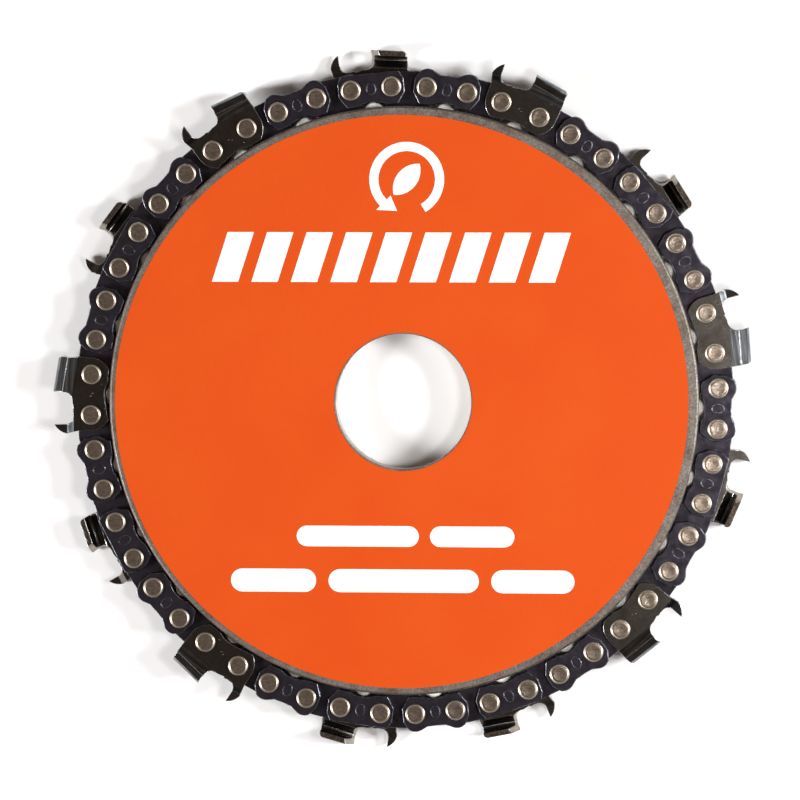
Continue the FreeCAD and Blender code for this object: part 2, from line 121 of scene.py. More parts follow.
# Punch marks on a cutter's side plate: x, y and radius.
PUNCH_DOTS = ((-0.23 * MM, 51.23 * MM, 0.16 * MM), (0.22 * MM, 50.95 * MM, 0.15 * MM),
              (1.66 * MM, 49.5 * MM, 0.13 * MM))

# The oval stamp on a strap: half width and half length of its outer and inner outline.
OVAL_OUTLINES = ((0.80 * MM, 1.08 * MM), (0.63 * MM, 0.91 * MM))

# Places of the materials on a cutter. A strap or link has its worn edges in the same place.
PLAIN_FACE, WORN_EDGE, FILED_FACE, SHEARED_FACE, SHOULDER_FACE, HORN_FACE = range(6)

# How far the edges of each kind of piece are rounded.
PLATE_ROUNDING = 0.06 * MM
TOOTH_ROUNDING = 0.4 * MM
SCREW_ROUNDING = 0.08 * MM
STRAP_ROUNDING = 0.13 * MM
LINK_ROUNDING = 0.1 * MM
CUTTER_ROUNDING = 0.07 * MM

# Small pieces are shaded smooth, except over edges sharper than this many degrees.
SMOOTH_UNDER = 50

# White shapes on the label, in millimetres. A bar is (left, right).
EMBLEM_CENTRE = (0.6, 36.2)
BAND_BARS = 9
BAND_LEFT = -31.2
BAND_STEP = 6.45
BAND_BAR_WIDTH = 4.3
BAND_LOW = 19.5
BAND_HIGH = 27.6
BAND_LEAN = 2.6
UPPER_ROW = ((-17.4, 2.6), (4.4, 18.2))
UPPER_ROW_LOW = -23.7
UPPER_ROW_HIGH = -20.3
LOWER_ROW = ((-28.2, -14.2), (-12.2, 12.4), (14.4, 28.0))
LOWER_ROW_LOW = -31.2
LOWER_ROW_HIGH = -27.4

# The studio surround: a dark, warm overhead that fades to pale walls low down. Heights are the upward part
# of a direction; wall greys are (place from left to right, grey).
OVERHEAD = (0.108, 0.081, 0.066, 1.0)
WALL_TOP = 0.10
OVERHEAD_FOOT = 0.30
LEFT_WALL = (0.50, 0.50, 0.53, 1.0)
RIGHT_WALL = (0.90, 0.92, 0.96, 1.0)
WALL_GREYS = ((0.22, 0.42), (0.42, 0.32), (0.62, 0.36), (0.82, 0.70))
SURROUND_STRENGTH = 1.05

# Lights: name, angle round the disc from +X, angle off its axis (degrees), distance, size (metres), watts.
SOFT_LIGHTS = (("right_light", 5, 59, 0.9, 0.25, 10.4),
               ("left_light", 195, 60, 0.9, 0.25, 9.2),
               ("high_light", -10, 24.7, 0.275, 0.05, 0.20))


def station_turn(step):
    """The turn about Z that carries a link from +Y to a station; stations run clockwise."""
    return FIRST_ANGLE - math.pi / 2 - step * PITCH


# ---------------------------------------------------------------- mesh helpers


def new_object(name, mesh, body, slot, *materials):
    """A piece of the object that rides on a CAD body, with its materials in order. The slot argument is not
    used.
    """
    piece = bpy.data.objects.new(name, mesh)
    bpy.context.scene.collection.objects.link(piece)
    for material in materials:
        mesh.materials.append(material)
    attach(piece, body)
    return piece


def on_circle(centre, radius, angle):
    """The point of a circle at an angle in degrees."""
    turn = math.radians(angle)
    return (centre[0] + radius * math.cos(turn), centre[1] + radius * math.sin(turn))


def arc(centre, radius, start, end, count):
    """Points along an arc; angles in degrees."""
    return [on_circle(centre, radius, start + (end - start) * n / count) for n in range(count + 1)]


def flat_mesh(name, outlines, bottom, top, rounding, steps=2):
    """Closed outlines filled and thickened between two heights, with rounded edges."""
    curve = bpy.data.curves.new(name, "CURVE")
    curve.dimensions = "2D"
    curve.fill_mode = "BOTH"
    curve.extrude = (top - bottom) / 2 - rounding
    curve.bevel_depth = rounding
    curve.bevel_resolution = steps
    curve.offset = -rounding
    for outline in outlines:
        spline = curve.splines.new("POLY")
        spline.points.add(len(outline) - 1)
        for point, (x, y) in zip(spline.points, outline):
            point.co = (x, y, 0, 1)
        spline.use_cyclic_u = True
    holder = bpy.data.objects.new(name, curve)
    bpy.context.scene.collection.objects.link(holder)
    bpy.context.view_layer.update()
    mesh = bpy.data.meshes.new_from_object(holder.evaluated_get(bpy.context.evaluated_depsgraph_get()))
    bpy.data.objects.remove(holder)
    bpy.data.curves.remove(curve)
    mesh.transform(Matrix.Translation((0, 0, (top + bottom) / 2)))
    clean = bmesh.new()
    clean.from_mesh(mesh)
    bmesh.ops.remove_doubles(clean, verts=clean.verts, dist=1e-7)
    clean.to_mesh(mesh)
    clean.free()
    mesh.materials.clear()
    return mesh


def lathe_mesh(name, profile, segments):
    """A closed solid of revolution about Z from (radius, height) points, both ends on the axis."""
    shape = bmesh.new()
    rings = []
    for radius, height in profile:
        if radius == 0:
            rings.append([shape.verts.new((0, 0, height))])
        else:
            rings.append([shape.verts.new((radius * math.cos(math.tau * n / segments),
                                           radius * math.sin(math.tau * n / segments), height))
                          for n in range(segments)])
    for lower, upper in zip(rings, rings[1:]):
        for n in range(segments):
            after = (n + 1) % segments
            corners = []
            for vert in (lower[n % len(lower)], lower[after % len(lower)],
                         upper[after % len(upper)], upper[n % len(upper)]):
                if vert not in corners:
                    corners.append(vert)
            if len(corners) > 2:
                shape.faces.new(corners)
    bmesh.ops.recalc_face_normals(shape, faces=shape.faces)
    mesh = bpy.data.meshes.new(name)
    shape.to_mesh(mesh)
    shape.free()
    return mesh


def smooth_by_angle(mesh, degrees):
    """Smooth shading, except across edges sharper than an angle."""
    mesh.shade_smooth()
    mesh.set_sharp_from_angle(angle=math.radians(degrees))


def round_edges(piece, width, edge_material=-1, steps=2, sharper_than=32):
    """Round the edges of a piece over an angle; the rounding may take a material of its own."""
    weld = piece.modifiers.new("weld", "WELD")
    weld.merge_threshold = 1e-6
    flatten = piece.modifiers.new("flatten", "DECIMATE")
    flatten.decimate_type = "DISSOLVE"
    flatten.angle_limit = math.radians(0.6)
    flatten.delimit = {"MATERIAL"}
    bevel = piece.modifiers.new("rounded_edges", "BEVEL")
    bevel.width = width
    bevel.segments = steps
    bevel.limit_method = "ANGLE"
    bevel.angle_limit = math.radians(sharper_than)
    bevel.use_clamp_overlap = False
    bevel.harden_normals = True
    bevel.material = edge_material


# ---------------------------------------------------------------- materials


class Graph:
    """Short calls for building a material's nodes."""

    def __init__(self, name):
        self.material = bpy.data.materials.new(name)
        self.material.use_nodes = True
        self.tree = self.material.node_tree
        self.shader = self.tree.nodes["Principled BSDF"]
        place = self.tree.nodes.new("ShaderNodeTexCoord")
        self.place = place.outputs["Object"]

    def node(self, kind, **inputs):
        """A node with some of its inputs set or linked."""
        made = self.tree.nodes.new(kind)
        for key, value in inputs.items():
            self.plug(made.inputs[key.replace("_", " ")], value)
        return made

    def plug(self, socket, value):
        """Set a socket, or link another node's output to it."""
        if isinstance(value, bpy.types.NodeSocket):
            self.tree.links.new(value, socket)
        else:
            socket.default_value = value

    def stretched(self, x, y, z):
        """The place on the object, scaled along its axes."""
        made = self.node("ShaderNodeMapping", Vector=self.place)
        made.inputs["Scale"].default_value = (x, y, z)
        return made.outputs["Vector"]

    def rings(self):
        """The distance from the disc's axis, as a place: noise read there runs in rings."""
        flat = self.node("ShaderNodeSeparateXYZ", Vector=self.place)
        x_squared = self.maths("POWER", flat.outputs["X"], 2.0)
        y_squared = self.maths("POWER", flat.outputs["Y"], 2.0)
        radius = self.maths("POWER", self.maths("ADD", x_squared, y_squared), 0.5)
        made = self.node("ShaderNodeCombineXYZ", X=radius)
        return made.outputs["Vector"]

    def noise(self, scale, detail=4.0, roughness=0.55, at=None):
        """Cloudy noise; scale is in features per metre."""
        made = self.node("ShaderNodeTexNoise", Vector=at or self.place, Scale=scale, Detail=detail,
                         Roughness=roughness)
        return made.outputs["Fac"]

    def ramp(self, value, *stops):
        """Colours or greys along a value: each stop is (position, colour)."""
        made = self.node("ShaderNodeValToRGB", Fac=value)
        ramp = made.color_ramp
        while len(ramp.elements) < len(stops):
            ramp.elements.new(0.5)
        for element, (position, colour) in zip(ramp.elements, stops):
            element.position = position
            element.color = colour if isinstance(colour, tuple) else (colour, colour, colour, 1)
        return made.outputs["Color"]

    def mix(self, amount, first, second):
        """One colour turning into another."""
        made = self.tree.nodes.new("ShaderNodeMix")
        made.data_type = "RGBA"
        self.plug(made.inputs["Factor"], amount)
        self.plug(made.inputs["A"], first)
        self.plug(made.inputs["B"], second)
        return made.outputs["Result"]

    def maths(self, how, first, second):
        """Arithmetic on two values."""
        made = self.tree.nodes.new("ShaderNodeMath")
        made.operation = how
        self.plug(made.inputs[0], first)
        self.plug(made.inputs[1], second)
        return made.outputs["Value"]

    def weighted(self, first, share, second):
        """Two values added, the first by its share and the second by the rest."""
        rest = self.maths("MULTIPLY", second, 1 - share)
        return self.maths("ADD", self.maths("MULTIPLY", first, share), rest)

    def bump(self, height, strength, depth):
        """Bumps on the shader from a height value; depth in metres."""
        made = self.node("ShaderNodeBump", Height=height, Strength=strength, Distance=depth)
        self.plug(self.shader.inputs["Normal"], made.outputs["Normal"])

    def finish(self, colour, roughness, metallic, coat=0.0, coat_roughness=0.1):
        """Plug the colour and roughness in and return the material."""
        self.plug(self.shader.inputs["Base Color"], colour)
        self.plug(self.shader.inputs["Roughness"], roughness)
        self.shader.inputs["Metallic"].default_value = metallic
        self.shader.inputs["Coat Weight"].default_value = coat
        self.shader.inputs["Coat Roughness"].default_value = coat_roughness
        return self.material


def shade(red, green, blue):
    """A linear colour with full alpha."""
    return (red, green, blue, 1.0)


def ground_steel():
    """Bare ground plate steel: warm grey, fine speckled grain and faint brown staining."""
    graph = Graph("ground_steel")
    grain = graph.noise(3400, detail=4, roughness=0.75)
    stain = graph.noise(300, detail=4)
    clean = graph.ramp(grain, (0.36, shade(0.125, 0.108, 0.092)), (0.64, shade(0.325, 0.290, 0.255)))
    brown = graph.ramp(grain, (0.36, shade(0.085, 0.068, 0.054)), (0.64, shade(0.235, 0.197, 0.163)))
    colour = graph.mix(graph.ramp(stain, (0.42, 0.0), (0.66, 1.0)), clean, brown)
    graph.bump(grain, 0.5, 0.05 * MM)
    return graph.finish(colour, graph.ramp(grain, (0.3, 0.62), (0.7, 0.46)), 1.0)


def tooth_steel_painted_light():
    """The rounded edges and teeth of the toothed plate: pale bare steel, made brighter than the plate's own
    steel as a painted highlight so the tooth tips look lit in the narrow gaps the lights do not reach.
    """
    graph = Graph("tooth_steel_painted_light")
    grain = graph.noise(2600, detail=3, roughness=0.65)
    colour = graph.ramp(grain, (0.34, shade(0.76, 0.725, 0.665)), (0.66, shade(0.92, 0.90, 0.86)))
    graph.bump(grain, 0.2, 0.04 * MM)
    return graph.finish(colour, graph.ramp(grain, (0.3, 0.50), (0.7, 0.38)), 0.2)


def turned_steel():
    """Plate steel faced on a lathe: fine rings round the bore, broken by a little staining."""
    graph = Graph("turned_steel")
    rings = graph.noise(5200, detail=3, roughness=0.7, at=graph.rings())
    grain = graph.noise(3400, detail=4, roughness=0.75)
    stain = graph.noise(120, detail=5)
    tone = graph.weighted(rings, 0.6, grain)
    clean = graph.ramp(tone, (0.36, shade(0.33, 0.30, 0.265)), (0.64, shade(0.56, 0.52, 0.47)))
    brown = graph.ramp(tone, (0.36, shade(0.24, 0.205, 0.17)), (0.64, shade(0.44, 0.39, 0.335)))
    colour = graph.mix(graph.ramp(stain, (0.48, 0.0), (0.70, 1.0)), clean, brown)
    graph.bump(tone, 0.4, 0.04 * MM)
    return graph.finish(colour, graph.ramp(tone, (0.3, 0.46), (0.7, 0.32)), 1.0)


def black_oxide():
    """Oiled black oxide on the straps and drive links, with a blue-violet sheen in patches."""
    graph = Graph("black_oxide")
    patches = graph.noise(620, detail=5)
    grain = graph.noise(4200, detail=3, roughness=0.65)
    colour = graph.ramp(patches, (0.32, shade(0.019, 0.0165, 0.0195)), (0.50, shade(0.033, 0.0275, 0.038)),
                        (0.72, shade(0.057, 0.050, 0.061)))
    graph.bump(graph.maths("ADD", grain, graph.maths("MULTIPLY", patches, 0.6)), 0.45, 0.06 * MM)
    return graph.finish(colour, graph.ramp(patches, (0.3, 0.48), (0.7, 0.34)), 0.9, coat=0.2)


def worn_oxide():
    """The straps' rounded edges, where the oxide has rubbed down to blue-grey steel."""
    graph = Graph("worn_oxide")
    wear = graph.noise(1500, detail=4, roughness=0.65)
    colour = graph.ramp(wear, (0.38, shade(0.035, 0.034, 0.042)), (0.52, shade(0.16, 0.165, 0.19)),
                        (0.70, shade(0.34, 0.35, 0.385)))
    graph.bump(wear, 0.2, 0.04 * MM)
    return graph.finish(colour, graph.ramp(wear, (0.3, 0.40), (0.7, 0.26)), 1.0)


def cutter_steel():
    """Dark hardened cutter steel, brownish grey with faint clouds."""
    graph = Graph("cutter_steel")
    patches = graph.noise(420, detail=5)
    grain = graph.noise(3800, detail=3, roughness=0.65)
    tone = graph.weighted(patches, 0.7, grain)
    colour = graph.ramp(tone, (0.36, shade(0.048, 0.040, 0.033)), (0.50, shade(0.080, 0.070, 0.060)),
                        (0.64, shade(0.130, 0.117, 0.103)))
    graph.bump(grain, 0.06, 0.03 * MM)
    return graph.finish(colour, graph.ramp(patches, (0.3, 0.36), (0.7, 0.24)), 1.0)


def bent_steel(name, paleness, roughest, smoothest):
    """Smooth bluish steel with fine lines drawn along the bend, for a cutter's shoulder or horn. Paleness
    scales the colour; the horn's much darker copy is painted shade on its leaning faces.
    """
    graph = Graph(name)
    lines = graph.noise(2400, detail=3, roughness=0.6, at=graph.rings())
    patches = graph.noise(500, detail=4)
    tone = graph.weighted(lines, 0.7, patches)
    stops = [(position, shade(0.94 * grey * paleness, grey * paleness, 1.06 * grey * paleness))
             for position, grey in ((0.38, 0.070), (0.50, 0.158), (0.62, 0.370))]
    graph.bump(lines, 0.1, 0.02 * MM)
    gloss = graph.ramp(patches, (0.3, roughest), (0.7, smoothest))
    return graph.finish(graph.ramp(tone, *stops), gloss, 1.0)


def worn_cutter():
    """The rubbed edges of a cutter: lighter steel that still carries a trace of scale."""
    graph = Graph("worn_cutter")
    wear = graph.noise(1500, detail=4, roughness=0.65)
    colour = graph.ramp(wear, (0.34, shade(0.16, 0.15, 0.14)), (0.66, shade(0.48, 0.48, 0.49)))
    graph.bump(wear, 0.15, 0.03 * MM)
    return graph.finish(colour, graph.ramp(wear, (0.3, 0.36), (0.7, 0.22)), 1.0)


def filed_steel():
    """Bright bare steel where the gullet and the cutting edge were filed."""
    graph = Graph("filed_steel")
    lines = graph.noise(2600, detail=2, at=graph.stretched(1, 1, 6))
    colour = graph.ramp(lines, (0.3, shade(0.24, 0.205, 0.165)), (0.7, shade(0.50, 0.445, 0.375)))
    graph.bump(lines, 0.25, 0.02 * MM)
    return graph.finish(colour, graph.ramp(lines, (0.3, 0.42), (0.7, 0.28)), 1.0)


def sheared_steel():
    """The brown cut end of the top plate, with fine streaks from shearing."""
    graph = Graph("sheared_steel")
    streaks = graph.noise(2400, detail=4, roughness=0.7)
    colour = graph.ramp(streaks, (0.34, shade(0.030, 0.021, 0.015)), (0.52, shade(0.080, 0.059, 0.044)),
                        (0.68, shade(0.20, 0.158, 0.122)))
    graph.bump(streaks, 0.4, 0.05 * MM)
    return graph.finish(colour, graph.ramp(streaks, (0.3, 0.55), (0.7, 0.38)), 1.0)


def rivet_rim_steel():
    """The smooth bright rolled rim of a rivet head."""
    graph = Graph("rivet_rim_steel")
    mottle = graph.noise(1400, detail=4)
    colour = graph.ramp(mottle, (0.3, shade(0.40, 0.345, 0.28)), (0.7, shade(0.60, 0.54, 0.46)))
    graph.bump(mottle, 0.15, 0.05 * MM)
    return graph.finish(colour, graph.ramp(mottle, (0.3, 0.44), (0.7, 0.34)), 1.0)


def rivet_face_steel():
    """The matte peened middle of a rivet head, brownish and scuffed."""
    graph = Graph("rivet_face_steel")
    dents = graph.noise(1500, detail=5, roughness=0.7)
    scuffs = graph.noise(1100, detail=3, at=graph.stretched(1, 3.5, 1))
    tone = graph.weighted(dents, 0.65, scuffs)
    colour = graph.ramp(tone, (0.36, shade(0.160, 0.115, 0.086)), (0.50, shade(0.290, 0.228, 0.180)),
                        (0.66, shade(0.51, 0.450, 0.385)))
    graph.bump(tone, 0.5, 0.08 * MM)
    return graph.finish(colour, graph.ramp(tone, (0.4, 0.38), (0.65, 0.27)), 1.0)


def label_vinyl():
    """Orange printed vinyl with a fine uneven surface."""
    graph = Graph("label_vinyl")
    cloud = graph.noise(55, detail=4)
    speckle = graph.noise(2400, detail=3, roughness=0.7)
    colour = graph.ramp(cloud, (0.3, shade(0.548, 0.060, 0.0047)), (0.7, shade(0.566, 0.070, 0.0058)))
    colour = graph.mix(graph.ramp(speckle, (0.40, 0.0), (0.75, 0.30)), colour, shade(0.50, 0.050, 0.0034))
    graph.bump(speckle, 0.12, 0.03 * MM)
    graph.shader.inputs["Specular IOR Level"].default_value = 0.12
    return graph.finish(colour, graph.ramp(speckle, (0.3, 0.58), (0.7, 0.46)), 0.0)


def white_ink():
    """White printing ink, a little uneven."""
    graph = Graph("white_ink")
    cover = graph.noise(1800, detail=4, roughness=0.6)
    colour = graph.ramp(cover, (0.3, shade(0.72, 0.68, 0.65)), (0.6, shade(0.82, 0.81, 0.80)))
    graph.bump(cover, 0.1, 0.02 * MM)
    graph.shader.inputs["Specular IOR Level"].default_value = 0.2
    return graph.finish(colour, graph.ramp(cover, (0.3, 0.55), (0.7, 0.42)), 0.0)


def screw_oxide():
    """Black oxide on the countersunk screws."""
    graph = Graph("screw_oxide")
    mottle = graph.noise(1300, detail=4)
    colour = graph.ramp(mottle, (0.3, shade(0.030, 0.030, 0.033)), (0.7, shade(0.080, 0.079, 0.082)))
    graph.bump(mottle, 0.2, 0.04 * MM)
    return graph.finish(colour, graph.ramp(mottle, (0.3, 0.5), (0.7, 0.34)), 0.9)


def pale_floor():
    """The plain pale floor."""
    graph = Graph("pale_floor")
    cloud = graph.noise(9, detail=2)
    colour = graph.ramp(cloud, (0.3, shade(0.955, 0.955, 0.955)), (0.7, shade(0.965, 0.965, 0.965)))
    return graph.finish(colour, 0.8, 0.0)


GROUND = ground_steel()
# Pale tooth steel: a painted highlight on the teeth.
TOOTH_PAINTED_LIGHT = tooth_steel_painted_light()
TURNED = turned_steel()
OXIDE = black_oxide()
WORN_OXIDE = worn_oxide()
CUTTER = cutter_steel()
SHOULDER = bent_steel("shoulder_steel", 1.0, 0.15, 0.10)
# The horn is the same bend steel made far darker: painted shade.
HORN_PAINTED_SHADE = bent_steel("horn_steel_painted_shade", 0.18, 0.40, 0.32)
WORN_CUTTER = worn_cutter()
FILED = filed_steel()
SHEARED = sheared_steel()
RIM = rivet_rim_steel()
FACE = rivet_face_steel()
VINYL = label_vinyl()
INK = white_ink()
SCREW = screw_oxide()


# ---------------------------------------------------------------- plates, label and screws


def repaint(piece, *materials):
    """Give a piece its materials, in order."""
    piece.data.materials.clear()
    for material in materials:
        piece.data.materials.append(material)


def finish_plates():
    """The two clamp plates, the toothed plate, the label and the screws keep their CAD shapes."""
    for name, material in (("front_plate", GROUND), ("back_plate", TURNED)):
        repaint(nodes[name], material)
        round_edges(nodes[name], PLATE_ROUNDING)
    # The teeth take the pale steel, a painted highlight; the bore wall keeps the turned steel.
    repaint(nodes["tooth_plate"], TOOTH_PAINTED_LIGHT, TURNED)
    for face in nodes["tooth_plate"].data.polygons:
        face.material_index = int(face.center.xy.length < NEAR_BORE)
    round_edges(nodes["tooth_plate"], TOOTH_ROUNDING, steps=4)
    repaint(nodes["label_disc"], VINYL)
    repaint(nodes["plate_screws"], SCREW)
    round_edges(nodes["plate_screws"], SCREW_ROUNDING)


def pill(left, right, low, high):
    """A bar with round ends, lying along X."""
    half = (high - low) / 2
    middle = low + half
    return arc((right - half, middle), half, -90, 90, 12) + arc((left + half, middle), half, 90, 270, 12)


def turning_arrow(centre, inner, outer, start, end, head, wing):
    """A round arrow that shows which way the disc turns."""
    point = on_circle(centre, (inner + outer) / 2, end + head)
    head_outline = [on_circle(centre, outer + wing, end), point, on_circle(centre, inner - wing, end)]
    return arc(centre, outer, start, end, 48) + head_outline + arc(centre, inner, end, start, 48)


def leaf(centre, length, width, lean):
    """A leaf between two arcs; its length leans from +X by an angle in degrees."""
    radius = (length * length / 4 + width * width / 4) / width
    sweep = math.degrees(math.asin(length / 2 / radius))
    sides = []
    for turn in (lean + 90, lean - 90):
        away = on_circle(centre, width / 2 - radius, turn)
        sides += arc(away, radius, turn - sweep, turn + sweep, 16)
    return sides


def slanted_bar(left, width, low, high, lean):
    """One forward-leaning bar of the printed band."""
    return [(left, low), (left + width, low), (left + width + lean, high), (left + lean, high)]


def print_label():
    """Plain white shapes on the label: a turning arrow round a leaf, a band of bars, two rows of bars."""
    outlines = [turning_arrow(EMBLEM_CENTRE, inner=4.6, outer=6.1, start=-60, end=225, head=28, wing=0.9),
                leaf(EMBLEM_CENTRE, length=6.6, width=3.4, lean=50)]
    outlines += [slanted_bar(BAND_LEFT + BAND_STEP * step, BAND_BAR_WIDTH, BAND_LOW, BAND_HIGH, BAND_LEAN)
                 for step in range(BAND_BARS)]
    outlines += [pill(left, right, UPPER_ROW_LOW, UPPER_ROW_HIGH) for left, right in UPPER_ROW]
    outlines += [pill(left, right, LOWER_ROW_LOW, LOWER_ROW_HIGH) for left, right in LOWER_ROW]
    scaled = [[(x * MM, y * MM) for x, y in outline] for outline in outlines]
    print_top = LABEL_TOP + 0.02 * MM
    mesh = flat_mesh("label_print", scaled, LABEL_TOP, print_top, rounding=0.006 * MM, steps=1)
    new_object("label_print", mesh, "disc", "label_print", INK)


finish_plates()
print_label()


# ---------------------------------------------------------------- chain


def gathered(name, placed):
    """One mesh from several meshes, each with its own placement."""
    whole = bmesh.new()
    for mesh, placement in placed:
        part = mesh.copy()
        part.transform(placement)
        whole.from_mesh(part)
        bpy.data.meshes.remove(part)
    joined = bpy.data.meshes.new(name)
    whole.to_mesh(joined)
    whole.free()
    return joined


def rivet_mesh():
    """A rivet with two peened heads: a rolled rim round a slightly sunk face with a centre dimple."""
    seat = STRAP_TOP - 0.01 * MM
    rim_middle = (HEAD_RADIUS + RIM_INNER_RADIUS) / 2
    rim_half = (HEAD_RADIUS - RIM_INNER_RADIUS) / 2
    wall_height = 0.1 * MM
    rim_rise = HEAD_TOP - STRAP_TOP - wall_height
    half = [(SHANK_RADIUS, 0), (SHANK_RADIUS, seat), (HEAD_RADIUS - 0.03 * MM, seat)]
    for step in range(10):
        turn = math.pi * 0.92 * step / 10
        rise = rim_rise * math.sin(turn) ** 0.8
        half.append((rim_middle + rim_half * math.cos(turn), HEAD_TOP - rim_rise + rise))
    half.append((RIM_INNER_RADIUS, HEAD_TOP - 0.06 * MM))
    for radius in FACE_RADII:
        depth = FACE_EDGE_DEPTH + FACE_DISH * math.cos(math.pi / 2 * radius / FACE_RADII[0])
        half.append((radius, HEAD_TOP - depth))
    profile = [(radius, -height) for radius, height in reversed(half[1:])] + half
    mesh = lathe_mesh("rivet", profile, 48)
    for face in mesh.polygons:
        inside_rim = face.center.xy.length < RIM_INNER_RADIUS - 0.01 * MM
        face.material_index = int(inside_rim and abs(face.center.z) > STRAP_TOP)
    return mesh


def rivet_places(step):
    """Placements of the two rivets at a strap place."""
    turn = Matrix.Rotation(station_turn(step), 4, "Z")
    return [turn @ Matrix.Translation((hand * RIVET_X, RIVET_Y, 0)) for hand in (-1, 1)]


def oval_mesh(side):
    """The thin raised oval outline of the stamp on a strap's outer face."""
    around = [math.tau * n / 40 for n in range(40)]
    outlines = [[(across * math.cos(turn), RIVET_Y + along * math.sin(turn)) for turn in around]
                for across, along in OVAL_OUTLINES]
    foot = STRAP_TOP - 0.03 * MM
    mesh = flat_mesh("oval", outlines, foot, STRAP_TOP + 0.035 * MM, rounding=0.03 * MM)
    if side < 0:
        mesh.transform(Matrix.Scale(-1, 4, (0, 0, 1)))
        mesh.flip_normals()
    return mesh


def strap_alone(node, step, name):
    """The strap of a preset node, without the two rivets that share its mesh."""
    shape = bmesh.new()
    shape.from_mesh(node.data)
    axes = [place.translation.xy for place in rivet_places(step)]
    rivet_faces = []
    for face in shape.faces:
        centre = face.calc_center_median().xy
        axis = min(axes, key=lambda spot: (centre - spot).length)
        near_axis = all((vert.co.xy - axis).length < HEAD_RADIUS + 0.05 * MM for vert in face.verts)
        hole_wall = face.normal.xy.dot((centre - axis).normalized()) < -0.5
        if near_axis and not hole_wall:
            rivet_faces.append(face)
    bmesh.ops.delete(shape, geom=rivet_faces, context="FACES")
    bmesh.ops.remove_doubles(shape, verts=shape.verts, dist=1e-6)
    mesh = bpy.data.meshes.new(name)
    shape.to_mesh(mesh)
    shape.free()
    return mesh


def cutter_side(number):
    """Which side of the chain a cutter is on: 1 for the label side, -1 for the far side."""
    return 1 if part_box(f"cutter_{number:02d}")[1].z > STRAP_TOP else -1


def is_filed(point, side):
    """Whether a point of a cutter drawn at the top of the disc lies on the filed gullet."""
    along = Vector((-side * math.sin(FILE_TILT), 0, math.cos(FILE_TILT)))
    off = point - FILE_CENTRE
    return abs((off - along * off.dot(along)).length - FILE_RADIUS) < FILE_TOLERANCE


def cutter_face(centre, facing, side):
    """The steel of one face of a cutter drawn at the top of the disc.

    Facing is 1 for a face that looks straight out on the cutter's own side, and -1 for straight back.
    """
    if facing < STRAIGHT_BACK and -side * centre.z > TOP_PLATE_REACH and centre.y > TOP_PLATE_FOOT:
        return SHEARED_FACE
    if is_filed(centre, side):
        return FILED_FACE
    leans = centre.y > BEND_FOOT and LEAST_LEAN < facing < MOST_LEAN
    # Leaning faces past the horn's foot take the darker horn steel, painted shade.
    if leans and centre.x < HORN_FOOT:
        return HORN_FACE
    if leans or (centre.y > SHOULDER_FOOT and facing > SHOULDER_CREST):
        return SHOULDER_FACE
    return PLAIN_FACE


def finish_cutter(number):
    """A cutter keeps its CAD shape; each kind of face gets its own steel."""
    node = nodes[f"cutter_{number:02d}"]
    side = cutter_side(number)
    repaint(node, CUTTER, WORN_CUTTER, FILED, SHEARED, SHOULDER, HORN_PAINTED_SHADE)
    back = Matrix.Rotation(-station_turn(2 * number - 2), 3, "Z")
    for face in node.data.polygons:
        face.material_index = cutter_face(back @ face.center, side * face.normal.z, side)
    round_edges(node, CUTTER_ROUNDING, edge_material=WORN_EDGE, sharper_than=42)


def punch_mesh():
    """The three raised dots a punch leaves on a cutter's side plate."""
    foot = STRAP_TOP - 0.05 * MM
    rim = STRAP_TOP - 0.02 * MM
    rise = 0.07 * MM
    dots = []
    for x, y, radius in PUNCH_DOTS:
        profile = [(0, foot), (radius, foot)]
        for angle in range(90, 0, -15):
            turn = math.radians(angle)
            profile.append((radius * math.sin(turn), rim + rise * math.cos(turn)))
        profile.append((0, rim + rise))
        dots.append((lathe_mesh("dot", profile, 20), Matrix.Translation((x, y, 0))))
    return gathered("punch_dots", dots)


PUNCH = punch_mesh()
RIVET = rivet_mesh()
OVALS = {side: oval_mesh(side) for side in (1, -1)}


def finish_plain_links():
    """The fixed straps between the cutters, with their rivets and stamps."""
    for name in ("tie_straps_front", "tie_straps_back"):
        repaint(nodes[name], OXIDE, WORN_OXIDE)
        round_edges(nodes[name], STRAP_ROUNDING, edge_material=WORN_EDGE)
    steps = range(1, STATIONS, 2)
    rivets = gathered("chain_rivet_set", [(RIVET, place) for step in steps for place in rivet_places(step)])
    smooth_by_angle(rivets, SMOOTH_UNDER)
    piece = new_object("chain_rivet_set", rivets, "chain", "rivet_steel", RIM, FACE)
    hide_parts("chain_rivets")
    turns = [Matrix.Rotation(station_turn(step), 4, "Z") for step in steps]
    stamps = gathered("strap_stamps", [(OVALS[side], turn) for side in (1, -1) for turn in turns])
    smooth_by_angle(stamps, SMOOTH_UNDER)
    new_object("strap_stamps", stamps, "chain", "chain_black", WORN_OXIDE)


